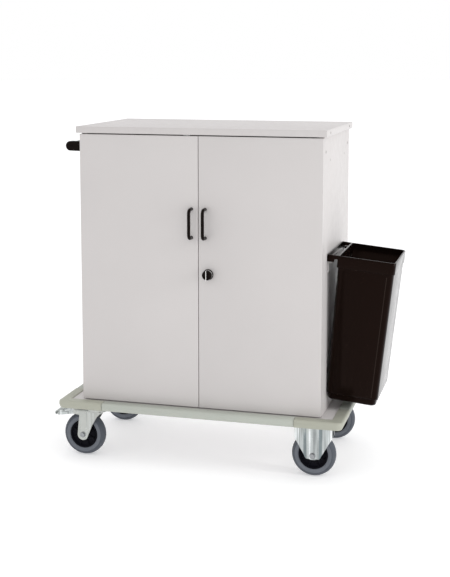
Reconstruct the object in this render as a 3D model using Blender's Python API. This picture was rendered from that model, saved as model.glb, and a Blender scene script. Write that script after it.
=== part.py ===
"""Housekeeping cart: a two-door cabinet on a bumpered platform with four casters and a hang-on bin.

The front faces -Y, the floor is Z = 0 and lengths are in metres. Positions along X are measured
from the cabinet's centre line and moved by CART_X, which centres the whole cart on the origin.
"""
import math

import bmesh
import bpy
from mathutils import Matrix, Vector

# --- cabinet ---------------------------------------------------------------------------------
GAP = 0.0003                # clearance between pieces that touch
CABINET_W = 0.836           # over the two side panels
CARCASS_FRONT = -0.2325
CABINET_BACK = 0.2525
PANEL_T = 0.018             # laminated board of the carcass, shelves and doors
BACK_T = 0.012
TOP_T = 0.022
TOP_Z = 1.160               # upper face of the top panel
TOP_SIDE_OVERHANG = 0.012
TOP_FRONT = -0.2560
TOP_BACK = 0.2545
SHELF_HEIGHTS = {"shelf_lower": 0.520, "shelf_upper": 0.830}
SHELF_FRONT = -0.205
BOTTOM_FRONT = -0.2205      # the bottom panel is set back behind the doors

# --- doors -----------------------------------------------------------------------------------
DOOR_FRONT = -0.2525
DOOR_Z0 = 0.216
DOOR_Z1 = 1.1342
SEAM = 0.003                # gap between the two doors
HINGE_AXIS_Y = -0.2335      # between the door's back and the carcass
HINGE_HEIGHTS = {"lower": 0.330, "upper": 1.020}
PULL_X = 0.0235             # door pull from the seam
PULL_Z = 0.844
PULL_SPACING = 0.096        # between the feet
PULL_REACH = 0.032
PULL_R = 0.0055
HINGE_CUP_REACH = (0.004, 0.034)    # door-side body, from the side panel's inner face
HINGE_CUP_T = 0.011
HINGE_CUP_HALF_H = 0.024
HINGE_ARM_T = 0.016
HINGE_ARM_DEPTH = (0.0125, 0.075)   # cabinet-side arm, from the door's back
HINGE_ARM_HALF_H = 0.009
LOCK_X = 0.034
LOCK_Z = 0.674
LOCK_BORE_R = 0.0112
LOCK_RING_R = 0.0182
LOCK_KNOB_R = 0.0165
LOCK_KNOB_FACE = 0.0210     # knob's face from the door's face
LOCK_GRIP_FACE = 0.0300     # grip's edge from the door's face
BOLT_X = -0.045
BOLT_Y = -0.2262
BOLT_Z0, BOLT_Z1 = 1.030, 1.110
BOLT_R = 0.004
KEEPER_Z0 = 1.120

# --- platform --------------------------------------------------------------------------------
DECK_L = 0.914
DECK_D = 0.516
DECK_Z0 = 0.190
DECK_Z1 = 0.212
BUMPER_W = 0.040
BUMPER_Z0 = 0.187
BUMPER_Z1 = 0.215
BUMPER_CORNER_R = 0.022     # plan radius of the platform's outer corners
BUMPER_ARM = 0.161          # length of a corner piece along each side

# --- casters ---------------------------------------------------------------------------------
CASTER_X = 0.387            # swivel axis, or middle of a fixed bracket
CASTER_Y = 0.199
TRAIL = 0.046               # from the swivel axis to the axle
WHEEL_R = 0.075
WHEEL_W = 0.040
HUB_R = 0.0497
PLATE_L, PLATE_D, PLATE_T = 0.135, 0.110, 0.004
LEG_IN = 0.0242             # inner face of a fork leg from the wheel's middle plane
LEG_T = 0.0033
AXLE_R = 0.006
AXLE_HEAD_R = 0.0105
BRACKET_HALF_W = 0.064      # a fixed bracket's leg is wide to its knee and tapers to its foot
BRACKET_FOOT_HALF_W = 0.022
BRACKET_KNEE_Z, BRACKET_FOOT_Z = 0.132, 0.064
RIB_HALF_W = 0.021          # rib pressed out of each bracket leg
RIB_Z0 = 0.094
RACE_R, RACE_Z0 = 0.036, 0.1735     # half of the ball race on the plate
CUP_R, CUP_Z0, CUP_Z1 = 0.039, 0.158, 0.1732    # half of the race on the fork
CROWN_Z0, CROWN_Z1 = 0.1575, 0.163
FOOT_R = 0.0205             # rounded foot of a fork leg around the axle
PEDAL_PIVOT = (-0.071, 0.154)   # X from the swivel axis, and height
PEDAL_TIP = -0.152          # X from the swivel axis

# --- bin -------------------------------------------------------------------------------------
BIN_TILT = math.radians(5.65)   # the hook holds the bin and its foot leans on the cabinet
BIN_HOOK_X = 0.4205         # outer top edge of the hook, from the cabinet's centre line
BIN_HOOK_Z = 0.747
BIN_Y = -0.030
BIN_REACH = 0.2265          # hook to far rim
BIN_W = 0.283               # along Y over the rim
BIN_H = 0.491
BIN_WALL = 0.003
BIN_HOOK_W = 0.034          # hook to the near wall of the bin
BIN_HOOK_DROP = 0.024
BIN_TRAY = 0.008            # the hook's upper face lies this far below the rim
BIN_GRIP_W, BIN_GRIP_L = 0.014, 0.190

# --- push handle -----------------------------------------------------------------------------
PUSH_X = -0.468
PUSH_Z = 1.090
PUSH_R = 0.0135
PUSH_Y = 0.205              # middle of each end bracket
PUSH_BRACKET_T = 0.020
PUSH_NOSE_R = 0.0165

# --- finishes: colour, roughness, metallic ---------------------------------------------------
FINISHES = {
    "laminate": ((0.62, 0.60, 0.59), 0.45, 0.0),
    "top_laminate": ((0.68, 0.66, 0.66), 0.40, 0.0),
    "sage_corner": ((0.40, 0.40, 0.33), 0.50, 0.0),
    "sage_strip": ((0.42, 0.44, 0.39), 0.45, 0.0),
    "zinc": ((0.62, 0.64, 0.62), 0.32, 0.9),
    "steel": ((0.55, 0.55, 0.56), 0.30, 1.0),
    "grey_rubber": ((0.16, 0.18, 0.20), 0.70, 0.0),
    "hub_plastic": ((0.012, 0.012, 0.014), 0.55, 0.0),
    "black_plastic": ((0.014, 0.012, 0.012), 0.35, 0.0),
    "bin_plastic": ((0.012, 0.008, 0.007), 0.25, 0.0),
    "coated_steel": ((0.60, 0.58, 0.57), 0.40, 0.0),
}

SIDE_X = CABINET_W / 2
INNER_X = SIDE_X - PANEL_T
CARCASS_Z0 = DECK_Z1 + GAP
CARCASS_Z1 = TOP_Z - TOP_T - GAP
DOOR_BACK = DOOR_FRONT + PANEL_T
BIN_FAR_X = BIN_HOOK_X + BIN_REACH * math.cos(BIN_TILT)
CART_X = -(BIN_FAR_X - CASTER_X + PEDAL_TIP) / 2


# --- helpers ---------------------------------------------------------------------------------
def clear_scene():
    for item in list(bpy.data.objects):
        bpy.data.objects.remove(item, do_unlink=True)


def material(name, finish):
    """Give a piece its own material in one of the cart's finishes."""
    colour, roughness, metallic = FINISHES[finish]
    made = bpy.data.materials.new(f"{name}_{finish}")
    made.use_nodes = True
    shader = made.node_tree.nodes["Principled BSDF"]
    shader.inputs["Base Color"].default_value = (*colour, 1.0)
    shader.inputs["Roughness"].default_value = roughness
    shader.inputs["Metallic"].default_value = metallic
    return made


def box(x0, x1, y0, y1, z0, z1):
    bm = bmesh.new()
    bmesh.ops.create_cube(bm, size=1.0)
    for v in bm.verts:
        v.co = Vector((x1 if v.co.x > 0 else x0, y1 if v.co.y > 0 else y0, z1 if v.co.z > 0 else z0))
    return bm


def loft(rings):
    """Close a stack of equal rings of points into one solid."""
    bm = bmesh.new()
    rows = [[bm.verts.new(p) for p in ring] for ring in rings]
    count = len(rows[0])
    for low, high in zip(rows, rows[1:]):
        for i in range(count):
            j = (i + 1) % count
            bm.faces.new((low[i], low[j], high[j], high[i]))
    bm.faces.new(list(reversed(rows[0])))
    bm.faces.new(rows[-1])
    bmesh.ops.recalc_face_normals(bm, faces=bm.faces)
    return bm


def prism(outline, axis, start, end):
    """Extrude an outline: (x, z) points along Y, or (x, y) points along Z."""
    if axis == "Y":
        return loft([[(u, t, v) for u, v in outline] for t in (start, end)])
    return loft([[(u, v, t) for u, v in outline] for t in (start, end)])


def lathe(profile, axis, centre, segments=32):
    """Turn (radius, distance along the axis) points into a solid of revolution."""
    bm = bmesh.new()
    rings = []
    for radius, along in profile:
        ring = []
        for i in range(segments if radius > 0 else 1):
            a = 2 * math.pi * i / segments
            u, v = radius * math.cos(a), radius * math.sin(a)
            local = (u, along, v) if axis == "Y" else (u, v, along)
            ring.append(bm.verts.new(Vector(centre) + Vector(local)))
        rings.append(ring)
    closed = profile[0][0] > 0
    pairs = list(zip(rings, rings[1:])) + ([(rings[-1], rings[0])] if closed else [])
    for low, high in pairs:
        for i in range(segments):
            j = (i + 1) % segments
            corners = [low[i % len(low)], low[j % len(low)], high[j % len(high)], high[i % len(high)]]
            unique = list(dict.fromkeys(corners))
            bm.faces.new(unique)
    bmesh.ops.recalc_face_normals(bm, faces=bm.faces)
    return bm


def rod(radius, axis, centre, start, end, segments=20):
    return lathe([(0, start), (radius, start), (radius, end), (0, end)], axis, centre, segments)


def arc(cx, cy, radius, start, end, steps):
    return [(cx + radius * math.cos(math.radians(start + (end - start) * i / steps)),
             cy + radius * math.sin(math.radians(start + (end - start) * i / steps)))
            for i in range(steps + 1)]


def rounded(x0, x1, y0, y1, radius, steps=3):
    return (arc(x1 - radius, y1 - radius, radius, 0, 90, steps)
            + arc(x0 + radius, y1 - radius, radius, 90, 180, steps)
            + arc(x0 + radius, y0 + radius, radius, 180, 270, steps)
            + arc(x1 - radius, y0 + radius, radius, 270, 360, steps))


def tube(path, radius, segments=12):
    """Sweep a circle along a path that stays in one plane."""
    points = [Vector(p) for p in path]
    rings = []
    side = (points[1] - points[0]).cross(points[-1] - points[0])
    if side.length < 1e-9:
        side = (points[1] - points[0]).cross(points[len(points) // 2] - points[0])
    side.normalize()
    for i, point in enumerate(points):
        ahead = points[min(i + 1, len(points) - 1)] - points[max(i - 1, 0)]
        up = ahead.normalized().cross(side)
        rings.append([point + radius * (math.cos(a) * side + math.sin(a) * up)
                      for a in (2 * math.pi * k / segments for k in range(segments))])
    return loft(rings)


def transform(bm, matrix):
    bmesh.ops.transform(bm, matrix=matrix, verts=bm.verts)
    return bm


def add(name, bm, finish, origin=(0.0, 0.0, 0.0), bevel=0.0, smooth=False, cuts=(), joins=(), segments=1):
    """Make one named piece; its origin lies on its joint axis when it moves."""
    start = Vector((CART_X + origin[0], origin[1], origin[2]))
    mesh = bpy.data.meshes.new(name)
    transform(bm, Matrix.Translation(Vector((CART_X, 0, 0)) - start))
    bm.to_mesh(mesh)
    bm.free()
    piece = bpy.data.objects.new(name, mesh)
    piece.location = start
    bpy.context.scene.collection.objects.link(piece)
    mesh.materials.append(material(name, finish))
    for kind, tools in (("UNION", joins), ("DIFFERENCE", cuts)):
        for index, tool in enumerate(tools):
            cutter = helper_object(f"{name}_{kind.lower()}_{index}", tool)
            boolean = piece.modifiers.new(cutter.name, "BOOLEAN")
            boolean.operation = kind
            boolean.solver = "EXACT"
            boolean.object = cutter
    if bevel:
        edge = piece.modifiers.new("edges", "BEVEL")
        edge.width = bevel
        edge.segments = segments
        edge.limit_method = "ANGLE"
        edge.angle_limit = math.radians(40)
    if smooth:
        mesh.shade_smooth()
        mesh.set_sharp_from_angle(angle=math.radians(35))
    return piece


def helper_object(name, bm):
    mesh = bpy.data.meshes.new(name)
    transform(bm, Matrix.Translation((CART_X, 0, 0)))
    bm.to_mesh(mesh)
    bm.free()
    tool = bpy.data.objects.new(name, mesh)
    tool.hide_render = True
    tool.display_type = "WIRE"
    bpy.context.scene.collection.objects.link(tool)
    return tool


# --- cabinet ---------------------------------------------------------------------------------
def carcass():
    for side, sign in (("left", -1), ("right", 1)):
        xs = sorted((sign * SIDE_X, sign * INNER_X))
        add(f"side_panel_{side}", box(*xs, CARCASS_FRONT, CABINET_BACK, CARCASS_Z0, CARCASS_Z1),
            "laminate", bevel=0.0008)
    inside = INNER_X - GAP
    back_front = CABINET_BACK - BACK_T
    add("bottom_panel", box(-inside, inside, BOTTOM_FRONT, back_front - GAP,
                            CARCASS_Z0, CARCASS_Z0 + PANEL_T), "laminate", bevel=0.0008)
    add("back_panel", box(-inside, inside, back_front, CABINET_BACK, CARCASS_Z0, CARCASS_Z1),
        "laminate", bevel=0.0006)
    add("top_panel", box(-SIDE_X - TOP_SIDE_OVERHANG, SIDE_X + TOP_SIDE_OVERHANG, TOP_FRONT, TOP_BACK,
                         TOP_Z - TOP_T, TOP_Z), "top_laminate", bevel=0.0012)
    for name, height in SHELF_HEIGHTS.items():
        add(name, box(-inside, inside, SHELF_FRONT, back_front - GAP, height - PANEL_T, height),
            "laminate", bevel=0.0008)


def hinge(side, sign, level, height):
    """A concealed hinge: the body on the door's back and the arm on the side panel."""
    cup_x = sorted(sign * (INNER_X - reach) for reach in HINGE_CUP_REACH)
    cup = box(*cup_x, DOOR_BACK + GAP, DOOR_BACK + HINGE_CUP_T,
              height - HINGE_CUP_HALF_H, height + HINGE_CUP_HALF_H)
    add(f"hinge_cup_{side}_{level}", cup, "steel", origin=(sign * SIDE_X, HINGE_AXIS_Y, 0.0), bevel=0.002)
    arm_x = sorted((sign * (INNER_X - HINGE_ARM_T), sign * (INNER_X - GAP)))
    arm = box(*arm_x, DOOR_BACK + HINGE_ARM_DEPTH[0], DOOR_BACK + HINGE_ARM_DEPTH[1],
              height - HINGE_ARM_HALF_H, height + HINGE_ARM_HALF_H)
    add(f"hinge_arm_{side}_{level}", arm, "steel", bevel=0.002)


def door(side, sign):
    axis = (sign * SIDE_X, HINGE_AXIS_Y, 0.0)
    xs = sorted((sign * SEAM / 2, sign * SIDE_X))
    holes = []
    if side == "right":
        holes.append(rod(LOCK_BORE_R, "Y", (LOCK_X, 0, LOCK_Z), DOOR_FRONT - 0.01, DOOR_BACK + 0.01, 24))
    add(f"door_{side}", box(*xs, DOOR_FRONT, DOOR_BACK, DOOR_Z0, DOOR_Z1), "laminate", origin=axis,
        bevel=0.0008, cuts=holes)
    x = sign * PULL_X
    half, bend = PULL_SPACING / 2, 0.013
    foot, bar = DOOR_FRONT - GAP, DOOR_FRONT - PULL_REACH
    path = [(x, foot, PULL_Z - half)]
    path += [(x, bar + bend + v, PULL_Z + u) for u, v in arc(-half + bend, 0, bend, 180, 270, 4)]
    path += [(x, bar + bend + v, PULL_Z + u) for u, v in arc(half - bend, 0, bend, 270, 360, 4)]
    path += [(x, foot, PULL_Z + half)]
    add(f"pull_{side}", tube(path, PULL_R), "black_plastic", origin=axis, smooth=True)
    for level, height in HINGE_HEIGHTS.items():
        hinge(side, sign, level, height)


def lock():
    """A quarter-turn lock: the ring in the door, the knob with its grip, and the cam behind."""
    centre = (LOCK_X, 0, LOCK_Z)
    front, back = DOOR_FRONT, DOOR_BACK
    shank, bore = 0.0064, 0.0068
    ring = lathe([(bore, front - 0.0060), (0.0150, front - 0.0060), (LOCK_RING_R, front - 0.0030),
                  (LOCK_RING_R, front - GAP), (0.0108, front - GAP), (0.0108, back + 0.0010),
                  (bore, back + 0.0010)], "Y", centre, 24)
    add("lock_ring", ring, "black_plastic", origin=(SIDE_X, HINGE_AXIS_Y, 0.0), smooth=True)
    face = front - LOCK_KNOB_FACE
    knob = lathe([(0, face), (0.0145, face), (LOCK_KNOB_R, face + 0.0020), (LOCK_KNOB_R, front - 0.0085),
                  (0.0150, front - 0.0064), (shank, front - 0.0064), (shank, back + 0.0060),
                  (0, back + 0.0060)], "Y", centre, 24)
    grip = box(LOCK_X - 0.0015, LOCK_X + 0.0015, front - LOCK_GRIP_FACE, face + 0.0090,
               LOCK_Z - 0.0190, LOCK_Z + 0.0175)
    add("lock_knob", knob, "black_plastic", origin=centre, smooth=True, joins=[grip])
    cam_y = (back + 0.0022, back + 0.0047)
    add("lock_cam", prism(rounded(LOCK_X - 0.009, LOCK_X + 0.009, LOCK_Z - 0.046, LOCK_Z + 0.011, 0.0085),
                          "Y", *cam_y), "steel", origin=centre,
        cuts=[rod(0.0067, "Y", centre, cam_y[0] - 0.01, cam_y[1] + 0.01)])


def bolt():
    """The sliding bolt that holds the left door to the top panel."""
    z0, z1 = BOLT_Z0, BOLT_Z1
    centre = (BOLT_X, BOLT_Y, 0)
    body = box(BOLT_X - 0.010, BOLT_X + 0.010, DOOR_BACK + GAP, -0.2185, z0, z1)
    window = box(BOLT_X - 0.02, BOLT_X + 0.02, -0.2315, -0.21, z0 + 0.020, z1 - 0.020)
    add("bolt_body", body, "steel", origin=(-SIDE_X, HINGE_AXIS_Y, 0.0),
        cuts=[window, rod(BOLT_R + GAP, "Z", centre, z0 - 0.01, z1 + 0.01, 16)])
    thumb = rod(0.0035, "Y", (BOLT_X, 0, z0 + 0.027), BOLT_Y, -0.2100, 12)
    add("bolt_rod", rod(BOLT_R, "Z", centre, z0 + 0.004, z1 + 0.007, 16), "steel",
        origin=(BOLT_X, BOLT_Y, z1), joins=[thumb], smooth=True)
    keeper = box(BOLT_X - 0.012, BOLT_X + 0.012, CARCASS_FRONT, -0.2180, KEEPER_Z0, CARCASS_Z1)
    hole = rod(0.0052, "Z", centre, KEEPER_Z0 - 0.02, CARCASS_Z1 + 0.01, 16)
    add("bolt_keeper", keeper, "steel", cuts=[hole])


# --- platform --------------------------------------------------------------------------------
def bumper_section(inner, outer):
    """Points of the bumper's cross-section between an inner and an outer point in plan."""
    a, b = Vector(inner), Vector(outer)
    low, high = BUMPER_Z0, BUMPER_Z1
    shape = [(0, low), (0.80, low), (0.94, low + 0.003), (1.0, low + 0.009),
             (1.0, high - 0.011), (0.93, high - 0.004), (0.78, high), (0, high)]
    return [(*(a + (b - a) * t), z) for t, z in shape]


def bumper_corner(name, sx, sy):
    deck_x, deck_y = DECK_L / 2 + GAP, DECK_D / 2 + GAP
    out_x, out_y = DECK_L / 2 + BUMPER_W, DECK_D / 2 + BUMPER_W
    r = BUMPER_CORNER_R
    turn = arc(out_x - r, out_y - r, r, 90, 0, 4)
    pairs = [((out_x - BUMPER_ARM, deck_y), (out_x - BUMPER_ARM, out_y)),
             ((deck_x - 0.004, deck_y), (deck_x - 0.004, out_y))]
    pairs += [((deck_x, deck_y), point) for point in turn]
    pairs += [((deck_x, deck_y - 0.004), (out_x, deck_y - 0.004)),
              ((deck_x, out_y - BUMPER_ARM), (out_x, out_y - BUMPER_ARM))]
    rings = [bumper_section((sx * a[0], sy * a[1]), (sx * b[0], sy * b[1])) for a, b in pairs]
    bm = loft(rings)
    bmesh.ops.remove_doubles(bm, verts=bm.verts, dist=1e-6)
    bmesh.ops.dissolve_degenerate(bm, edges=bm.edges, dist=1e-6)
    bmesh.ops.recalc_face_normals(bm, faces=bm.faces)
    add(name, bm, "sage_corner", smooth=True)


def platform():
    add("deck", box(-DECK_L / 2, DECK_L / 2, -DECK_D / 2, DECK_D / 2, DECK_Z0, DECK_Z1),
        "laminate", bevel=0.0008)
    for name, sx, sy in (("front_left", -1, -1), ("front_right", 1, -1),
                         ("rear_left", -1, 1), ("rear_right", 1, 1)):
        bumper_corner(f"bumper_corner_{name}", sx, sy)
    inset = 0.0005          # the strips sit just inside the corner pieces' faces
    along_x = DECK_L / 2 + BUMPER_W - BUMPER_ARM - GAP
    along_y = DECK_D / 2 + BUMPER_W - BUMPER_ARM - GAP
    for name, sign in (("front", -1), ("rear", 1)):
        near, far = sign * (DECK_D / 2 + GAP), sign * (DECK_D / 2 + BUMPER_W - inset)
        rings = [bumper_section((x, near), (x, far)) for x in (-along_x, along_x)]
        add(f"bumper_strip_{name}", loft(rings), "sage_strip", smooth=True)
    for name, sign in (("left", -1), ("right", 1)):
        near, far = sign * (DECK_L / 2 + GAP), sign * (DECK_L / 2 + BUMPER_W - inset)
        rings = [bumper_section((near, y), (far, y)) for y in (-along_y, along_y)]
        add(f"bumper_strip_{name}", loft(rings), "sage_strip", smooth=True)


# --- casters ---------------------------------------------------------------------------------
def wheel(tag, x, y, axle_origin):
    centre = (x, y, WHEEL_R)
    half = WHEEL_W / 2
    tread = [(HUB_R + GAP, -half + 0.004), (HUB_R + 0.004, -half), (WHEEL_R - 0.010, -half),
             (WHEEL_R - 0.003, -half + 0.004), (WHEEL_R, -half + 0.011)]
    tread += [(r, -a) for r, a in reversed(tread)]
    add(f"tyre_{tag}", lathe(tread, "Y", centre, 36), "grey_rubber", origin=centre, smooth=True)
    bore, boss = AXLE_R + GAP, LEG_IN - 0.0005
    side = [(bore, -boss), (0.016, -boss), (0.018, -half + 0.003), (0.024, -0.008),
            (0.040, -0.008), (0.044, -half + 0.003), (HUB_R, -half + 0.003)]
    side += [(r, -a) for r, a in reversed(side)]
    add(f"hub_{tag}", lathe(side, "Y", centre, 24), "hub_plastic", origin=centre, smooth=True)
    reach = LEG_IN + LEG_T + GAP
    axle = [(0, -reach - 0.006), (AXLE_HEAD_R, -reach - 0.006), (AXLE_HEAD_R, -reach), (AXLE_R, -reach),
            (AXLE_R, reach), (AXLE_HEAD_R, reach), (AXLE_HEAD_R, reach + 0.007), (0, reach + 0.007)]
    add(f"axle_{tag}", lathe(axle, "Y", centre, 12), "steel", origin=axle_origin, smooth=True)


def leg_holes(points, y, radii):
    reach = LEG_IN + LEG_T + 0.01
    return [rod(r, "Y", (x, y, z), -reach, reach) for (x, z), r in zip(points, radii)]


def fixed_caster(tag, x, y):
    """A wheel between the two legs of a bracket that is bent down from its top plate."""
    top = DECK_Z0 - GAP
    legs = []
    for sign in (-1, 1):
        ys = sorted((sign * LEG_IN, sign * (LEG_IN + LEG_T)))
        half = [(BRACKET_HALF_W, top - 0.002), (BRACKET_HALF_W, BRACKET_KNEE_Z),
                (BRACKET_FOOT_HALF_W, BRACKET_FOOT_Z)]
        shape = [(x - u, z) for u, z in half] + [(x + u, z) for u, z in reversed(half)]
        legs.append(prism(shape, "Y", y + ys[0], y + ys[1]))
        rise = sorted((sign * (LEG_IN + LEG_T - 0.001), sign * (LEG_IN + LEG_T + 0.0035)))
        rib = [(x - RIB_HALF_W, top - 0.003), (x - RIB_HALF_W + 0.004, RIB_Z0),
               (x + RIB_HALF_W - 0.004, RIB_Z0), (x + RIB_HALF_W, top - 0.003)]
        legs.append(prism(rib, "Y", y + rise[0], y + rise[1]))
    plate = box(x - PLATE_L / 2, x + PLATE_L / 2, y - PLATE_D / 2, y + PLATE_D / 2, top - PLATE_T, top)
    add(f"caster_bracket_{tag}", plate, "zinc", joins=legs,
        cuts=leg_holes([(x, WHEEL_R)], y, [AXLE_R + GAP]))
    wheel(tag, x, y, (0.0, 0.0, 0.0))


def swivel_caster(tag, x, y):
    """A plate with the upper race, a turning fork that trails to the left, its wheel and its brake."""
    top = DECK_Z0 - GAP
    race = rod(RACE_R, "Z", (x, y, 0), RACE_Z0, top - PLATE_T / 2, 28)
    plate = box(x - PLATE_L / 2, x + PLATE_L / 2, y - PLATE_D / 2, y + PLATE_D / 2, top - PLATE_T, top)
    add(f"caster_plate_{tag}", plate, "zinc", joins=[race])
    pivot = (x, y, 0.0)
    axle_x = x - TRAIL
    legs = []
    for sign in (-1, 1):
        ys = sorted((sign * LEG_IN, sign * (LEG_IN + LEG_T)))
        foot = arc(axle_x, WHEEL_R, FOOT_R, 175, 340, 7)
        shape = foot + [(x + 0.012, 0.140), (x + 0.034, CROWN_Z1), (x - 0.080, CROWN_Z1),
                        (x - 0.080, 0.147), (x - 0.061, 0.145)]
        legs.append(prism(shape, "Y", y + ys[0], y + ys[1]))
    cup = rod(CUP_R, "Z", (x, y, 0), CUP_Z0, CUP_Z1, 28)
    crown = box(x - 0.060, x + 0.034, y - LEG_IN - 0.001, y + LEG_IN + 0.001, CROWN_Z0, CROWN_Z1)
    px, pz = x + PEDAL_PIVOT[0], PEDAL_PIVOT[1]
    add(f"caster_fork_{tag}", crown, "zinc", origin=pivot, joins=[cup] + legs,
        cuts=leg_holes([(axle_x, WHEEL_R), (px, pz)], y, [AXLE_R + GAP, 0.0033]))
    wheel(tag, axle_x, y, pivot)
    width = LEG_IN - 0.0008
    tip = x + PEDAL_TIP
    lever = prism([(px + 0.006, pz + 0.0035), (px + 0.006, pz - 0.0025), (tip + 0.030, pz - 0.0095),
                   (tip + 0.006, pz - 0.0160), (tip, pz - 0.0160), (tip, pz - 0.0120),
                   (tip + 0.024, pz - 0.0030)], "Y", y - width, y + width)
    add(f"brake_pedal_{tag}", lever, "zinc", origin=(px, y, pz),
        joins=[rod(0.0030, "Y", (px, y, pz), -LEG_IN - LEG_T, LEG_IN + LEG_T, 12)])


# --- bin -------------------------------------------------------------------------------------
def bin_frame():
    """Local axes of the bin: X away from the cabinet, Z up along its side, from the hook's top edge."""
    return Matrix.Translation((BIN_HOOK_X, BIN_Y, BIN_HOOK_Z)) @ Matrix.Rotation(BIN_TILT, 4, "Y")


def bin_ring(inset, depth, radius):
    return [(u, v, -depth) for u, v in rounded(BIN_HOOK_W + inset, BIN_REACH - inset,
                                               -BIN_W / 2 + inset, BIN_W / 2 - inset, radius)]


def hang_on_bin():
    outer = [(0.017, BIN_H, 0.020), (0.0120, BIN_H - 0.005, 0.020), (0.0115, BIN_H - 0.022, 0.018),
             (0.0030, 0.042, 0.014), (0.0, 0.039, 0.014), (0.0, 0.0, 0.014)]
    inner = [(BIN_WALL, 0.0, 0.012), (BIN_WALL, 0.039, 0.012), (BIN_WALL + 0.003, 0.045, 0.012),
             (BIN_WALL + 0.0118, BIN_H - 0.024, 0.015), (BIN_WALL + 0.017, BIN_H - BIN_WALL, 0.015)]
    body = loft([bin_ring(*ring) for ring in outer + inner])
    half = BIN_W / 2 - 0.003
    hook = box(0.0, BIN_HOOK_W + 0.002, -half, half, -BIN_HOOK_DROP, 0.0)
    tray = box(0.004, BIN_HOOK_W + 0.006, -half + 0.004, half - 0.004, -BIN_TRAY, 0.01)
    under = box(0.004, BIN_HOOK_W - 0.004, -half + 0.006, half - 0.006, -BIN_HOOK_DROP - 0.01,
                -BIN_TRAY - BIN_WALL)
    grip = box(BIN_HOOK_W - 0.004 - BIN_GRIP_W, BIN_HOOK_W - 0.004, -BIN_GRIP_L / 2, BIN_GRIP_L / 2,
               -0.03, 0.01)
    place = bin_frame()
    add("bin", transform(body, place), "bin_plastic", origin=(BIN_HOOK_X + 0.012, BIN_Y, BIN_HOOK_Z - 0.02),
        smooth=True, joins=[transform(hook, place)],
        cuts=[transform(tool, place) for tool in (tray, under, grip)])
    rest = BIN_HOOK_Z - 0.0114   # top edge of the rail that carries the hook
    wall = SIDE_X + GAP
    outline = [(wall, rest - 0.052), (wall + 0.0025, rest - 0.052), (wall + 0.0025, rest - 0.0195),
               (wall + 0.0145, rest - 0.0195), (wall + 0.0145, rest - 0.001), (wall + 0.0120, rest - 0.001),
               (wall + 0.0120, rest - 0.0170), (wall, rest - 0.0170)]
    length = BIN_W / 2 - 0.016
    add("bin_rail", prism(outline, "Y", BIN_Y - length, BIN_Y + length), "coated_steel")


# --- push handle -----------------------------------------------------------------------------
def push_handle():
    wall = -SIDE_X - GAP
    shape = [(wall, PUSH_Z - 0.021), (wall, PUSH_Z + 0.021), (wall - 0.004, PUSH_Z + 0.021),
             (wall - 0.010, PUSH_Z + 0.017)]
    shape += arc(PUSH_X, PUSH_Z, PUSH_NOSE_R, 90, 270, 10)
    shape += [(wall - 0.010, PUSH_Z - 0.018), (wall - 0.004, PUSH_Z - 0.021)]
    for name, sign in (("front", -1), ("rear", 1)):
        ys = sorted(sign * (PUSH_Y + side * PUSH_BRACKET_T / 2) for side in (-1, 1))
        bore = sorted((-sign * 0.03, sign * 0.003))
        socket = rod(PUSH_R + GAP, "Y", (PUSH_X, sign * PUSH_Y, PUSH_Z), *bore)
        add(f"push_bracket_{name}", prism(shape, "Y", *ys), "black_plastic", cuts=[socket], smooth=True)
    end = PUSH_Y + 0.0025
    add("push_bar", rod(PUSH_R, "Y", (PUSH_X, 0, PUSH_Z), -end, end, 24),
        "black_plastic", smooth=True)


def build():
    clear_scene()
    carcass()
    door("left", -1)
    door("right", 1)
    lock()
    bolt()
    platform()
    for tag, sign in (("front", -1), ("rear", 1)):
        swivel_caster(f"left_{tag}", -CASTER_X, sign * CASTER_Y)
        fixed_caster(f"right_{tag}", CASTER_X, sign * CASTER_Y)
    hang_on_bin()
    push_handle()


build()
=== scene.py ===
import math

import bmesh
import bpy
from mathutils import Matrix, Vector


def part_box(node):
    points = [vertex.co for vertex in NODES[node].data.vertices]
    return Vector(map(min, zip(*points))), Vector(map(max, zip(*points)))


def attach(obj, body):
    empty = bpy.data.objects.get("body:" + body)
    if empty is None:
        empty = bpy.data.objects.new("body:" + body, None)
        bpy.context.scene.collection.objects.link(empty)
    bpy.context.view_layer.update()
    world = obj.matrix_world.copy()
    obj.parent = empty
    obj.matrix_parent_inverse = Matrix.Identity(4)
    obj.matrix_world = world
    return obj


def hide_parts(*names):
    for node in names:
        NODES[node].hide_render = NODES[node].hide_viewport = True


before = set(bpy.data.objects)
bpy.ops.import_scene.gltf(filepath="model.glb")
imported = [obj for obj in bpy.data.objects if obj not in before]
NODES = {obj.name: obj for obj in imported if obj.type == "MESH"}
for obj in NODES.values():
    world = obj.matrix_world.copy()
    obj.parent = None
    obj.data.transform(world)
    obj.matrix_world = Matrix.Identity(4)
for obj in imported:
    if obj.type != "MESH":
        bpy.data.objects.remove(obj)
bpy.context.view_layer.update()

# --- places that the frame gives -------------------------------------------------------------
TOP_LOW, TOP_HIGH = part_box("top_panel")
CENTRE_X = (TOP_LOW.x + TOP_HIGH.x) / 2
DOOR_LOW, DOOR_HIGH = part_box("door_right")
DOOR_FRONT, DOOR_BACK = DOOR_LOW.y, DOOR_HIGH.y
SIDE_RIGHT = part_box("side_panel_right")[1].x
SIDE_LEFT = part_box("side_panel_left")[0].x
DECK_LOW, DECK_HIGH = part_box("deck")
WHEEL_R = (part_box("tyre_left_front")[1].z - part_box("tyre_left_front")[0].z) / 2

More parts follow.
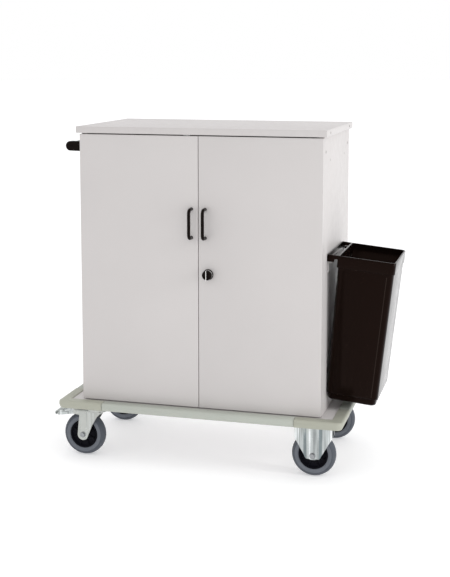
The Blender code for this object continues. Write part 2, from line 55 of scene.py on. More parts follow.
# --- shared sizes ----------------------------------------------------------------------------
BOARD_ROUND = 0.0011        # rounded edge of a faced board
PANEL_T = 0.018             # side panels of the cabinet
DOOR_EDGING = 0.0005        # edging that stands into the seam between the doors
SHEET_T = 0.0030            # pressed steel of the casters
PLATE_T = 0.0040            # their top plates
PLATE_ROUND = 0.012
PLATE_BOLT_X, PLATE_BOLT_Y = 0.0525, 0.0400     # bolts, from the middle of the plate
RACE_LOW = 0.1740           # heights of the two races at a swivel, above the ground
CROWN_TOP, CROWN_LOW = 0.1734, 0.1576
LEG_IN = 0.0242             # inner face of a fork leg from the wheel's middle
BRACKET_RISE = 0.0040       # how far the middle of a fixed bracket is pressed out
BIN_TILT = math.radians(5.65)
BIN_HOOK_X = SIDE_RIGHT + 0.0025
BIN_WALL = 0.0028
BIN_H = 0.491
BIN_HOOK_W = 0.034          # hook, from its wall edge to the bin
BIN_HOOK_DROP = 0.024
BIN_PANEL_IN = 0.0205       # proud panel of the broad sides, from the corner
BIN_PANEL_STEP = 0.0024
BIN_PANEL_PROUD = 0.0018
BUMPER_SEAM = 0.0012        # chamfer at the ends of the bumper pieces
BUMPER_GAP = 0.0011         # and the gap beside them


# --- mesh helpers ----------------------------------------------------------------------------
def piece(name, bm, body, surface, replaces=(), sharp=35.0, bevel=0.0, segments=2):
    """Turn a mesh into a named piece that rides on a body of the frame."""
    bmesh.ops.recalc_face_normals(bm, faces=bm.faces)
    mesh = bpy.data.meshes.new(name)
    bm.to_mesh(mesh)
    bm.free()
    made = bpy.data.objects.new(name, mesh)
    bpy.context.scene.collection.objects.link(made)
    for material in surface if isinstance(surface, (list, tuple)) else [surface]:
        mesh.materials.append(material)
    mesh.shade_smooth()
    mesh.set_sharp_from_angle(angle=math.radians(sharp))
    if bevel:
        edge = made.modifiers.new("edges", "BEVEL")
        edge.width = bevel
        edge.segments = segments
        edge.limit_method = "ANGLE"
        edge.angle_limit = math.radians(sharp)
        edge.harden_normals = True
    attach(made, body)
    if replaces:
        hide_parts(*replaces)
    return made


def absorb(bm, part):
    """Move all of one mesh into another, with its faces in an order that is the same on each run."""
    part.verts.index_update()
    made = [bm.verts.new(v.co) for v in part.verts]
    rows = []
    for face in part.faces:
        corners = [v.index for v in face.verts]
        first = corners.index(min(corners))
        rows.append((corners[first:] + corners[:first], face.material_index))
    for corners, material in sorted(rows):
        bm.faces.new([made[i] for i in corners]).material_index = material
    part.free()


def placed(axis, u, v, along):
    """A point from its two places across an axis and its place along it."""
    return Vector({"X": (along, u, v), "Y": (u, along, v), "Z": (u, v, along)}[axis])


def box(low, high, bm=None):
    """A cuboid between two opposite corners."""
    bm = bm or bmesh.new()
    made = bmesh.ops.create_cube(bm, size=1.0)["verts"]
    for v in made:
        v.co = Vector([high[i] if v.co[i] > 0 else low[i] for i in range(3)])
    return bm


def loft(rings, bm=None):
    """Join equal rings of points into a skin that is closed at its ends."""
    bm = bm or bmesh.new()
    rows = [[bm.verts.new(p) for p in ring] for ring in rings]
    count = len(rows[0])
    for low, high in zip(rows, rows[1:]):
        for i in range(count):
            j = (i + 1) % count
            bm.faces.new((low[i], low[j], high[j], high[i]))
    bm.faces.new(list(reversed(rows[0])))
    bm.faces.new(rows[-1])
    return bm


def turned(profile, axis, centre, segments=48, bm=None):
    """Turn (radius, distance along the axis) points; a profile that starts off the axis is a ring."""
    bm = bm or bmesh.new()
    centre = Vector(centre)
    rows = []
    for radius, along in profile:
        row = []
        for i in range(segments if radius > 0 else 1):
            a = 2 * math.pi * i / segments
            row.append(bm.verts.new(centre + placed(axis, radius * math.cos(a), radius * math.sin(a), along)))
        rows.append(row)
    pairs = list(zip(rows, rows[1:])) + ([(rows[-1], rows[0])] if profile[0][0] > 0 else [])
    for low, high in pairs:
        for i in range(segments):
            j = (i + 1) % segments
            corners = [low[i % len(low)], low[j % len(low)], high[j % len(high)], high[i % len(high)]]
            bm.faces.new(list(dict.fromkeys(corners)))
    return bm


def arc(cx, cy, radius, start, end, steps):
    """Points along an arc between two angles in degrees."""
    return [(cx + radius * math.cos(math.radians(start + (end - start) * i / steps)),
             cy + radius * math.sin(math.radians(start + (end - start) * i / steps)))
            for i in range(steps + 1)]


def rounded(x0, x1, y0, y1, radius, steps=6):
    """A rectangle with rounded corners."""
    return (arc(x1 - radius, y1 - radius, radius, 0, 90, steps)
            + arc(x0 + radius, y1 - radius, radius, 90, 180, steps)
            + arc(x0 + radius, y0 + radius, radius, 180, 270, steps)
            + arc(x1 - radius, y0 + radius, radius, 270, 360, steps))


def prism(outline, axis, start, end, bm=None):
    """Extrude an outline: (y, z) along X, (x, z) along Y or (x, y) along Z."""
    return loft([[placed(axis, u, v, along) for u, v in outline] for along in (start, end)], bm)


def tube(path, radius, segments):
    """Sweep a circle along a bent path that lies in one plane."""
    points = [Vector(p) for p in path]
    normal = Vector((0, 0, 0))
    for a, b, c in zip(points, points[1:], points[2:]):
        normal += (b - a).cross(c - b)
    side = normal.normalized()
    rings = []
    for i, point in enumerate(points):
        ahead = (points[min(i + 1, len(points) - 1)] - points[max(i - 1, 0)]).normalized()
        up = ahead.cross(side)
        rings.append([point + radius * (math.cos(t) * side + math.sin(t) * up)
                      for t in (2 * math.pi * k / segments for k in range(segments))])
    return loft(rings)


def hexagon(axis, centre, across, start, end, bm=None):
    """A hexagonal head or nut with a slight chamfer at its free end."""
    r = across / math.sqrt(3)
    chamfer = min(abs(end - start) * 0.18, r * 0.12)
    step = math.copysign(chamfer, end - start)
    rings = []
    for scale, along in ((1.0, start), (1.0, end - step), (0.90, end)):
        ring = []
        for i in range(6):
            a = math.radians(60 * i + 30)
            u, v = r * scale * math.cos(a), r * scale * math.sin(a)
            ring.append(Vector(centre) + placed(axis, u, v, along))
        rings.append(ring)
    return loft(rings, bm)


def pan_screw(axis, centre, radius, sign, bm=None):
    """A low round screw head that stands on a face at the centre."""
    dome = [(0.0, 0.45), (0.5, 0.42), (0.85, 0.26), (1.0, 0.0), (0.0, 0.0)]
    return turned([(r * radius, sign * rise * radius) for r, rise in dome], axis, centre, 20, bm)


# --- materials -------------------------------------------------------------------------------
class Finish:
    """A principled material that is built up node by node."""

    def __init__(self, name, colour, roughness, metallic=0.0, **sockets):
        self.material = bpy.data.materials.new(name)
        self.material.use_nodes = True
        self.tree = self.material.node_tree
        self.shader = self.tree.nodes["Principled BSDF"]
        self.colour = (*colour, 1.0)
        self.shader.inputs["Base Color"].default_value = self.colour
        self.shader.inputs["Roughness"].default_value = roughness
        self.shader.inputs["Metallic"].default_value = metallic
        for key, value in sockets.items():
            self.shader.inputs[key.replace("_", " ")].default_value = value
        self.coords = self.tree.nodes.new("ShaderNodeTexCoord").outputs["Object"]
        self.normal = None

    def node(self, kind, **inputs):
        made = self.tree.nodes.new(kind)
        for key, value in inputs.items():
            made.inputs[key.replace("_", " ")].default_value = value
        return made

    def stretched(self, scale):
        mapping = self.node("ShaderNodeMapping", Scale=scale)
        self.tree.links.new(self.coords, mapping.inputs["Vector"])
        return mapping.outputs["Vector"]

    def noise(self, scale, detail, roughness=0.5, stretch=None):
        made = self.node("ShaderNodeTexNoise", Scale=scale, Detail=detail, Roughness=roughness)
        self.tree.links.new(self.stretched(stretch) if stretch else self.coords, made.inputs["Vector"])
        return made.outputs["Fac"]

    def ranged(self, value, low, high, to_low, to_high):
        made = self.node("ShaderNodeMapRange", From_Min=low, From_Max=high, To_Min=to_low, To_Max=to_high)
        self.tree.links.new(value, made.inputs["Value"])
        return made.outputs["Result"]

    def tint(self, fac, colour):
        """Mix the base colour towards another where the factor is high."""
        made = self.tree.nodes.new("ShaderNodeMix")
        made.data_type = "RGBA"
        made.inputs["B"].default_value = (*colour, 1.0)
        self.tree.links.new(fac, made.inputs["Factor"])
        socket = self.shader.inputs["Base Color"]
        if socket.is_linked:
            self.tree.links.new(socket.links[0].from_socket, made.inputs["A"])
        else:
            made.inputs["A"].default_value = self.colour
        self.tree.links.new(made.outputs["Result"], socket)
        return self

    def rough(self, value):
        self.tree.links.new(value, self.shader.inputs["Roughness"])
        return self

    def bump(self, height, distance, strength):
        made = self.node("ShaderNodeBump", Distance=distance, Strength=strength)
        self.tree.links.new(height, made.inputs["Height"])
        if self.normal:
            self.tree.links.new(self.normal, made.inputs["Normal"])
        self.normal = made.outputs["Normal"]
        self.tree.links.new(self.normal, self.shader.inputs["Normal"])
        return self


def laminate(name, colour):
    """Melamine-faced board: a faint pearl texture with slow tone variation."""
    f = Finish(name, colour, 0.42, Specular_IOR_Level=0.45)
    lighter = [min(1.0, c * 1.05) for c in colour]
    darker = [c * 0.955 for c in colour]
    f.tint(f.ranged(f.noise(3.5, 2.0), 0.35, 0.7, 0.0, 0.6), lighter)
    f.tint(f.ranged(f.noise(260.0, 4.0, 0.6), 0.45, 0.75, 0.0, 0.14), darker)
    f.rough(f.ranged(f.noise(45.0, 3.0), 0.3, 0.7, 0.36, 0.50))
    return f.bump(f.noise(1500.0, 2.0), 0.00010, 0.35).bump(f.noise(90.0, 2.0), 0.00025, 0.08).material


def edging(name, colour):
    """Thin plastic edging of a board, a little glossier and with fine marks along it."""
    f = Finish(name, colour, 0.34)
    f.tint(f.ranged(f.noise(40.0, 3.0, 0.6), 0.45, 0.75, 0.0, 0.5), [c * 0.93 for c in colour])
    f.rough(f.ranged(f.noise(160.0, 2.0), 0.3, 0.7, 0.28, 0.42))
    return f.bump(f.noise(420.0, 2.0), 0.00012, 0.25).material


def moulded(name, colour, roughness, grain=700.0, depth=0.00016, scuff=0.25, **sockets):
    """Moulded plastic with a fine spark-eroded grain and light scuffs."""
    f = Finish(name, colour, roughness, **sockets)
    worn = [min(1.0, c * 1.25 + 0.012) for c in colour]
    f.tint(f.ranged(f.noise(7.0, 3.0, 0.55), 0.35, 0.75, 0.0, 0.35), [c * 0.88 for c in colour])
    f.tint(f.ranged(f.noise(60.0, 6.0, 0.72, (1.0, 1.0, 5.0)), 0.60, 0.80, 0.0, scuff), worn)
    f.rough(f.ranged(f.noise(120.0, 3.0), 0.3, 0.7, roughness * 0.82, min(1.0, roughness * 1.22)))
    return f.bump(f.noise(grain, 2.0, 0.6), depth, 0.5).material


def glossy_black(name, colour):
    """Polished black plastic with faint handling marks."""
    f = Finish(name, colour, 0.13, Specular_Tint=(0.14, 0.09, 0.075, 1.0))
    f.tint(f.ranged(f.noise(90.0, 5.0, 0.7, (4.0, 4.0, 1.0)), 0.62, 0.85, 0.0, 0.06), (0.05, 0.045, 0.042))
    f.rough(f.ranged(f.noise(26.0, 4.0, 0.6), 0.3, 0.75, 0.09, 0.20))
    return f.bump(f.noise(9.0, 1.0), 0.0008, 0.04).bump(f.noise(900.0, 1.0), 0.00005, 0.15).material


def zinc(name, colour, painted_reflection):
    """Bright zinc plating with a soft spangle and dull patches, and upright dark and light bands of painted
    reflection.
    """
    f = Finish(name, colour, 0.30, 0.82)
    # painted reflection: upright dark and light bands, as strong as the last argument sets, stand in for dark
    # and bright surroundings mirrored in the metal
    dark = f.noise(62.0, 2.0, 0.5, (1.0, 1.0, 0.06))
    light = f.noise(95.0, 1.0, 0.5, (1.0, 1.0, 0.04))
    f.tint(f.ranged(dark, 0.46, 0.58, 0.0, painted_reflection), [c * 0.50 for c in colour])
    f.tint(f.ranged(light, 0.56, 0.66, 0.0, painted_reflection), (0.88, 0.91, 0.92))
    f.tint(f.ranged(f.noise(34.0, 4.0, 0.6), 0.40, 0.72, 0.0, 0.45), [c * 0.84 for c in colour])
    f.tint(f.ranged(f.noise(11.0, 2.0), 0.50, 0.75, 0.0, 0.20), (0.60, 0.60, 0.50))
    f.rough(f.ranged(f.noise(75.0, 4.0, 0.6), 0.3, 0.7, 0.24, 0.44))
    return f.bump(f.noise(320.0, 3.0, 0.6, (1.0, 1.0, 0.12)), 0.00012, 0.30).material


def steel(name, colour, roughness=0.26):
    """Plated steel of small hardware."""
    f = Finish(name, colour, roughness, 1.0)
    f.tint(f.ranged(f.noise(140.0, 4.0), 0.45, 0.75, 0.0, 0.5), [c * 0.8 for c in colour])
    f.rough(f.ranged(f.noise(260.0, 3.0), 0.3, 0.7, roughness * 0.8, roughness * 1.35))
    return f.bump(f.noise(900.0, 2.0), 0.00006, 0.3).material


def rubber(name, colour):
    """Grey non-marking rubber with a dusty, slightly mottled skin."""
    f = Finish(name, colour, 0.62, Specular_IOR_Level=0.25)
    f.tint(f.ranged(f.noise(16.0, 4.0, 0.6), 0.40, 0.75, 0.0, 0.35), [c * 1.30 for c in colour])
    f.tint(f.ranged(f.noise(190.0, 5.0, 0.7), 0.58, 0.80, 0.0, 0.30), [c * 0.66 for c in colour])
    f.rough(f.ranged(f.noise(50.0, 3.0), 0.3, 0.7, 0.52, 0.76))
    return f.bump(f.noise(480.0, 4.0, 0.65), 0.00030, 0.5).material


def make_finishes():
    return {
        "board": laminate("cart_laminate", (0.572, 0.547, 0.540)),
        "top": laminate("cart_top_laminate", (0.588, 0.558, 0.555)),
        "edging": edging("cart_edging", (0.560, 0.535, 0.528)),
        "corner": moulded("cart_bumper_corner", (0.395, 0.400, 0.333), 0.50),
        "strip": moulded("cart_bumper_strip", (0.440, 0.462, 0.415), 0.42, 500.0, 0.00012),
        # zinc copies: the last number is how much painted reflection each has; the darker copy is painted
        # shade and the brighter copy a painted highlight, for the pressed folds of the casters
        "zinc": zinc("cart_zinc", (0.515, 0.55, 0.55), 0.85),
        "painted_shade_zinc": zinc("cart_painted_shade_zinc", (0.245, 0.285, 0.295), 0.35),
        "painted_highlight_zinc": zinc("cart_painted_highlight_zinc", (0.84, 0.86, 0.86), 0.20),
        "fork": zinc("cart_fork_zinc", (0.50, 0.515, 0.49), 0.22),
        "steel": steel("cart_steel", (0.60, 0.60, 0.61)),
        "bolt": steel("cart_bolt_steel", (0.34, 0.35, 0.36), 0.30),
        "bright": steel("cart_bright_steel", (0.80, 0.79, 0.77), 0.18),
        "tyre": rubber("cart_tyre", (0.082, 0.091, 0.108)),
        "sidewall": rubber("cart_tyre_sidewall", (0.135, 0.146, 0.168)),
        "hub": moulded("cart_hub", (0.0035, 0.0035, 0.0055), 0.48, 600.0, 0.0002, 0.02,
                       Specular_Tint=(0.12, 0.12, 0.15, 1.0)),
        "black": moulded("cart_black_plastic", (0.0055, 0.0040, 0.0036), 0.30, 800.0, 0.0001, 0.02,
                         Specular_IOR_Level=0.25, Specular_Tint=(0.22, 0.17, 0.15, 1.0)),
        "bin": glossy_black("cart_bin_plastic", (0.0050, 0.0026, 0.0020)),
        # painted highlight: a lighter copy of the bin plastic for the far steps of the proud panels
        "bin_highlight": moulded("cart_bin_painted_highlight", (0.019, 0.014, 0.012), 0.30, 900.0, 0.0001, 0.10,
                            Specular_Tint=(0.16, 0.11, 0.09, 1.0)),
        "coated": moulded("cart_coated_steel", (0.62, 0.60, 0.59), 0.40, 900.0, 0.0001, 0.08),
        "cap": moulded("cart_screw_cap", (0.33, 0.31, 0.30), 0.40, 900.0, 0.0001, 0.05),
        "pale_cap": moulded("cart_pale_cap", (0.50, 0.48, 0.47), 0.40, 900.0, 0.0001, 0.05),
    }


# --- cabinet boards --------------------------------------------------------------------------
def board(name, body, broad, edge, thin, wider=(0.0, 0.0)):
    """A faced board: broad faces in one finish, and rounded edging on the narrow faces."""
    low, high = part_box(name)
    low.x -= wider[0]
    high.x += wider[1]
    bm = box(low, high)
    for face in bm.faces:
        face.material_index = 0 if abs(face.normal[thin]) > 0.5 else 1
    bmesh.ops.bevel(bm, geom=bm.edges[:], offset=BOARD_ROUND, segments=3, profile=0.5, affect="EDGES",
                    material=1)
    piece(f"{name}_board", bm, body, [broad, edge], [name], sharp=50)


def cabinet(f):
    board("top_panel", "cart", f["top"], f["edging"], 2)
    board("deck", "cart", f["board"], f["edging"], 2)
    board("side_panel_left", "cart", f["board"], f["edging"], 0)
    board("side_panel_right", "cart", f["board"], f["edging"], 0)
    board("door_left", "left_door", f["board"], f["edging"], 1, (0.0, DOOR_EDGING))
    board("door_right", "right_door", f["board"], f["edging"], 1, (DOOR_EDGING, 0.0))
    for name in ("shelf_lower", "shelf_upper", "bottom_panel"):
        board(name, "cart", f["board"], f["edging"], 2)
    board("back_panel", "cart", f["board"], f["edging"], 1)
    inner = SIDE_RIGHT - PANEL_T
    pin = [(0, 0), (0.0042, 0), (0.0042, 0.010), (0.0032, 0.012), (0, 0.012)]
    for level in ("lower", "upper"):
        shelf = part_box(f"shelf_{level}")
        for side, x, sign in (("left", 2 * CENTRE_X - inner, 1), ("right", inner, -1)):
            for index, y in enumerate((shelf[0].y + 0.06, shelf[1].y - 0.06)):
                bm = turned([(r, sign * out) for r, out in pin], "X", (x, y, shelf[0].z - 0.0044), 20)
                piece(f"shelf_pin_{level}_{side}_{index}", bm, "cart", f["bright"])


def screw_caps(f):
    """Round caps over the fixing screws, on the right side panel and the edge of the top panel."""
    top_z = (TOP_LOW.z + TOP_HIGH.z) / 2
    small, large = 0.0042, 0.0050
    spots = [(TOP_HIGH.x, y, top_z, small, "cap") for y in (-0.190, 0.185)]
    spots += [(SIDE_RIGHT, y, 1.087, large, "cap") for y in (-0.205, 0.215)]
    spots += [(SIDE_RIGHT, y, 1.056, small, "pale_cap") for y in (-0.125, 0.150)]
    for index, (x, y, z, r, finish) in enumerate(spots):
        dome = [(0, 0.0012), (r * 0.7, 0.0010), (r, 0.0004), (r, -0.0002), (0, -0.0002)]
        piece(f"screw_cap_{index:02d}", turned(dome, "X", (x, y, z), 24), "cart", f[finish])


# --- door hardware ---------------------------------------------------------------------------
def pulls(f):
    """A bow-shaped pull on each door, on two thin feet."""
    for side in ("left", "right"):
        low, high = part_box(f"pull_{side}")
        x, r = (low.x + high.x) / 2, (high.x - low.x) / 2
        z0, z1 = low.z + r, high.z - r
        bar, foot, bend = low.y + r, DOOR_FRONT, 0.014
        path = [(x, foot, z0), (x, foot - 0.004, z0)]
        path += [(x, bar + bend + v, z0 + bend + u) for u, v in arc(0, 0, bend, 180, 270, 8)]
        path += [(x, bar + bend + v, z1 - bend + u) for u, v in arc(0, 0, bend, 270, 360, 8)]
        path += [(x, foot - 0.004, z1), (x, foot, z1)]
        bm = tube(path, r, 24)
        pad = [(0, 0), (r + 0.0004, 0), (r + 0.0004, -0.0010), (r, -0.0016), (0, -0.0016)]
        for z in (z0, z1):
            turned(pad, "Y", (x, foot, z), 28, bm)
        piece(f"bow_pull_{side}", bm, f"{side}_door", f["black"], [f"pull_{side}"])


def lock(f):
    """A turn lock: collar and bright ring in the door, a knob with a thin grip, and the cam behind."""
    ring_low, ring_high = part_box("lock_ring")
    x, z = (ring_low.x + ring_high.x) / 2, (ring_low.z + ring_high.z) / 2
    front, centre = DOOR_FRONT, (x, 0, z)
    collar = [(0.0069, 0.0055), (0.0140, 0.0055), (0.0166, 0.0048), (0.0180, 0.0030), (0.0182, 0.0002),
              (0.0110, 0.0)]
    collar = [(r, front - out) for r, out in collar]
    collar += [(0.0108, DOOR_BACK + 0.0010), (0.0069, DOOR_BACK + 0.0010)]
    piece("lock_collar", turned(collar, "Y", centre, 48), "right_door", f["black"],
          ["lock_ring"])
    bead = arc(0.0150, front - 0.0066, 0.0011, 0, 324, 9)
    piece("lock_bright_ring", turned(bead, "Y", centre, 48), "right_door", f["bright"])
    knob = [(0, 0.0196), (0.0120, 0.0198), (0.0142, 0.0208), (0.0158, 0.0202), (0.0165, 0.0185),
            (0.0166, 0.0110), (0.0158, 0.0090), (0.0120, 0.0082), (0.0064, 0.0080)]
    knob = [(r, front - out) for r, out in knob]
    knob += [(0.0064, DOOR_BACK + 0.0052), (0, DOOR_BACK + 0.0052)]
    piece("lock_turn_knob", turned(knob, "Y", centre, 48), "lock", f["black"], ["lock_knob"])
    outline = rounded(front - 0.0298, front - 0.0150, z - 0.0188, z + 0.0172, 0.0035, 5)
    grip = prism(outline, "X", x - 0.00115, x + 0.00115)
    piece("lock_grip", grip, "lock", f["bright"], bevel=0.0004)
    cam_low, cam_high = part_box("lock_cam")
    outline = rounded(x - 0.009, x + 0.009, cam_low.z, cam_high.z, 0.0088, 8)
    cam = prism(outline, "Y", cam_low.y, cam_high.y)
    piece("lock_cam_plate", cam, "lock", f["steel"], ["lock_cam"], bevel=0.0004)
    nut = hexagon("Y", centre, 0.016, cam_high.y, cam_high.y + 0.005)
    piece("lock_cam_nut", nut, "lock", f["steel"])


def hinges(f):
    """Concealed hinges: a flanged cup in the door and an arm on the side panel, each with two screws."""
    for side, sign in (("left", -1), ("right", 1)):
        for level in ("lower", "upper"):
            low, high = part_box(f"hinge_cup_{side}_{level}")
            x, z = (low.x + high.x) / 2, (low.z + high.z) / 2
            deep = high.y - low.y
            flange = prism(rounded(x - 0.013, x + 0.013, z - 0.024, z + 0.024, 0.008, 5), "Y",
                           low.y - 0.0002, low.y + 0.0016)
            turned([(0, deep), (0.008, deep), (0.0125, 0.0050), (0.0135, 0.0010), (0, 0.0010)],
                   "Y", (x, low.y, z), 32, flange)
            for dz in (-0.0185, 0.0185):
                pan_screw("Y", (x, low.y + 0.0016, z + dz), 0.0032, 1, flange)
            piece(f"hinge_cup_{side}_{level}_plate", flange, f"{side}_door", f["steel"],
                  [f"hinge_cup_{side}_{level}"], bevel=0.0003)
            low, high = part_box(f"hinge_arm_{side}_{level}")
            wall, z = low.x if side == "left" else high.x, (low.z + high.z) / 2
            reach = -sign * (high.x - low.x)
            near, plate, tip = wall + reach * 0.25, wall + reach * 0.62, wall + reach * 0.95
            arm = box((min(wall, wall + reach * 0.2), low.y + 0.006, z - 0.0085),
                      (max(wall, wall + reach * 0.2), high.y, z + 0.0085))
            profile = [(near, low.y), (tip, low.y), (tip, low.y + 0.020), (plate, low.y + 0.034),
                       (plate, high.y - 0.004), (near, high.y - 0.004)]
            prism(profile, "Z", z - 0.0058, z + 0.0058, arm)
            for y in (low.y + 0.040, high.y - 0.012):
                pan_screw("X", (plate, y, z), 0.0034, -sign, arm)
            piece(f"hinge_arm_{side}_{level}_plate", arm, "cart", f["steel"],
                  [f"hinge_arm_{side}_{level}"], bevel=0.0005)


def door_bolt(f):
    """The left door's bolt: a plate with two guides for the rod, and its keeper under the top panel."""
    low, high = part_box("bolt_body")
    x, y, face = (low.x + high.x) / 2, low.y + 0.0080, low.y + 0.0016
    plate = prism(rounded(low.x, high.x, low.z, high.z, 0.003, 4), "Y", low.y, face)
    guide = [(x - 0.0085, face), (x - 0.0085, y), *arc(x, y, 0.0062, 180, 0, 12)]
    guide += [(x + 0.0085, y), (x + 0.0085, face)]
    for z0, z1 in ((low.z + 0.004, low.z + 0.017), (high.z - 0.017, high.z - 0.004)):
        prism(guide, "Z", z0, z1, plate)
    pan_screw("Y", (x, face, (low.z + high.z) / 2 - 0.002), 0.0028, 1, plate)
    piece("door_bolt_plate", plate, "left_door", f["steel"], ["bolt_body"], bevel=0.0003)
    NODES["bolt_rod"].data.materials[0] = f["bright"]
    NODES["bolt_keeper"].data.materials[0] = f["steel"]


# --- platform --------------------------------------------------------------------------------
def bumper_ring(inner, outer, swell=0.0, shrink=0.0):
    """Points of the bumper's section between an inner and an outer point in plan."""
    a, b = Vector(inner), Vector(outer)
    low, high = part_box("bumper_corner_front_left")
    z0, height = low.z, high.z - low.z
    depth = (b - a).length
    crown = 0.0092 + swell
    shape = [(0.0, 0.0), (depth - 0.0100, 0.0)]
    shape += [(depth - 0.0100 + u, 0.0070 + v) for u, v in arc(0, 0, 0.0070, 270, 340, 4)]
    shape += [(depth - 0.0008, height * 0.42), (depth, height * 0.50), (depth - 0.0008, height * 0.60)]
    shape += [(depth - crown + u, height - crown + v) for u, v in arc(0, 0, crown * 0.96, 12, 90, 6)]
    shape += [(0.0035, height), (0.0022, height - 0.0006), (0.0, height - 0.0022)]
    along = (b - a).normalized()
    return [(*(a + along * max(0.0, min(t, depth - shrink))), z0 + max(shrink, min(v, height - shrink)))
            for t, v in shape]


def corner_bumper(name, f):
    """A moulded corner that is swept around the deck's corner, with chamfered ends."""
    low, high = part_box(name)
    middle = ((DECK_LOW.x + DECK_HIGH.x) / 2, (DECK_LOW.y + DECK_HIGH.y) / 2)
    sx = 1 if (low.x + high.x) / 2 > middle[0] else -1
    sy = 1 if (low.y + high.y) / 2 > middle[1] else -1
    deck_x = (DECK_HIGH.x if sx > 0 else DECK_LOW.x) + sx * 0.0003
    deck_y = (DECK_HIGH.y if sy > 0 else DECK_LOW.y) + sy * 0.0003
    out_x, out_y = (high.x if sx > 0 else low.x), (high.y if sy > 0 else low.y)
    end_x, end_y = (low.x if sx > 0 else high.x), (low.y if sy > 0 else high.y)
    r = 0.022
    edge = BUMPER_SEAM
    pairs = [((end_x, deck_y), (end_x, out_y)), ((end_x + sx * edge, deck_y), (end_x + sx * edge, out_y)),
             ((deck_x - sx * 0.002, deck_y), (deck_x - sx * 0.002, out_y))]
    for u, v in arc(-r, -r, r, 90, 0, 8):
        pairs.append(((deck_x, deck_y), (out_x + sx * u, out_y + sy * v)))
    pairs += [((deck_x, deck_y - sy * 0.002), (out_x, deck_y - sy * 0.002)),
              ((deck_x, end_y + sy * edge), (out_x, end_y + sy * edge)), ((deck_x, end_y), (out_x, end_y))]
    last = len(pairs) - 1
    bm = loft([bumper_ring(a, b, shrink=edge if i in (0, last) else 0.0) for i, (a, b) in enumerate(pairs)])
    bmesh.ops.remove_doubles(bm, verts=bm.verts, dist=0.00001)
    bmesh.ops.dissolve_degenerate(bm, edges=bm.edges[:], dist=0.00001)
    piece(f"{name}_moulding", bm, "cart", f["corner"], [name], sharp=40)


def strip_bumper(name, f):
    """A straight length of bumper between two corners, a little slimmer than they are."""
    low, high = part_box(name)
    side = name.rsplit("_", 1)[1]
    inset = 0.0006
    spans = ((low.x, high.x), (high.y, low.y + inset) if side == "front" else (low.y, high.y - inset))
    if side in ("left", "right"):
        spans = ((low.y, high.y), (high.x, low.x + inset) if side == "left" else (low.x, high.x - inset))
    (start, end), (inner, outer) = spans
    start, end = start + BUMPER_GAP, end - BUMPER_GAP
    rings = []
    for at, shrink in ((start, BUMPER_SEAM), (start + BUMPER_SEAM, 0.0),
                       (end - BUMPER_SEAM, 0.0), (end, BUMPER_SEAM)):
        if side in ("front", "rear"):
            rings.append(bumper_ring((at, inner), (at, outer), 0.0012, shrink))
        else:
            rings.append(bumper_ring((inner, at), (outer, at), 0.0012, shrink))
    piece(f"{name}_profile", loft(rings), "cart", f["strip"], [name], sharp=40)


def platform(f):
    for a in ("front", "rear"):
        for b in ("left", "right"):
            corner_bumper(f"bumper_corner_{a}_{b}", f)
    for side in ("front", "rear", "left", "right"):
        strip_bumper(f"bumper_strip_{side}", f)


# --- casters ---------------------------------------------------------------------------------
def pressed_leg(outline, creases, fold, tone, y, sign, bm):
    """A pressed sheet leg: a flat outline in X and Z, cut along creases, folded and thickened outwards."""
    flat = bmesh.new()
    flat.faces.new([flat.verts.new((u, 0.0, v)) for u, v in outline])
    for x in creases:
        bmesh.ops.bisect_plane(flat, geom=flat.verts[:] + flat.edges[:] + flat.faces[:], plane_co=(x, 0, 0),
                               plane_no=(1, 0, 0))
    for face in flat.faces:
        face.material_index = tone(face.calc_center_median().x)
    for v in flat.verts:
        v.co.y = y + sign * fold(v.co.x)
    if sign < 0:
        bmesh.ops.reverse_faces(flat, faces=flat.faces[:])
    bmesh.ops.solidify(flat, geom=flat.faces[:], thickness=SHEET_T)
    absorb(bm, flat)


def wheel(tag, body, f):
    """A rubber tyre with lighter side walls, on a dished plastic centre with ribs."""
    low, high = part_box(f"tyre_{tag}")
    centre = (low + high) / 2
    r, half = WHEEL_R, (high.y - low.y) / 2
    hub_r = (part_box(f"hub_{tag}")[1].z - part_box(f"hub_{tag}")[0].z) / 2
    side = [(hub_r + out, -half + dip)
            for out, dip in ((0.0002, 0.0045), (0.0010, 0.0018), (0.0030, 0.0004), (0.0075, 0.0))]
    side += [(r - down, -half + dip)
             for down, dip in ((0.0128, 0.0003), (0.0118, 0.0012), (0.0110, 0.0012), (0.0102, 0.0006),
                               (0.0085, 0.0014), (0.0056, 0.0036), (0.0032, 0.0064), (0.0014, 0.0100),
                               (0.0004, 0.0140), (0.0001, 0.0170))]
    seam = [(r, -0.0006), (r, 0.0006)]
    profile = side + seam + [(a, -b) for a, b in reversed(side)]
    bm = turned(profile, "Y", centre, 96)
    for face in bm.faces:
        middle = face.calc_center_median() - centre
        if math.hypot(middle.x, middle.z) < r - 0.0122 and abs(middle.y) > half - 0.005:
            face.material_index = 1
    piece(f"tyre_{tag}_tread", bm, body, [f["tyre"], f["sidewall"]], [f"tyre_{tag}"])
    boss = LEG_IN - 0.0006
    dish = [(0.0063, -boss), (0.0128, -boss), (0.0140, -boss + 0.0012), (0.0168, -0.0180),
            (0.0190, -0.0145), (0.0215, -0.0115), (0.0260, -0.0098), (0.0360, -0.0092), (0.0400, -0.0100),
            (0.0430, -0.0128), (0.0448, -0.0165), (0.0462, -0.0178), (0.0484, -0.0180), (0.0495, -0.0172)]
    bm = turned(dish + [(a, -b) for a, b in reversed(dish)], "Y", centre, 72)
    ribs = 8
    for sign in (-1, 1):
        near, far = sorted((sign * 0.0085, sign * 0.0140))
        for i in range(ribs):
            spoke = Matrix.Translation(centre) @ Matrix.Rotation(2 * math.pi * (i + 0.5) / ribs, 4, "Y")
            rib = box((0.0175, near, -0.0011), (0.0440, far, 0.0011))
            bmesh.ops.transform(rib, matrix=spoke, verts=rib.verts)
            absorb(bm, rib)
    piece(f"hub_{tag}_centre", bm, body, f["hub"], [f"hub_{tag}"])


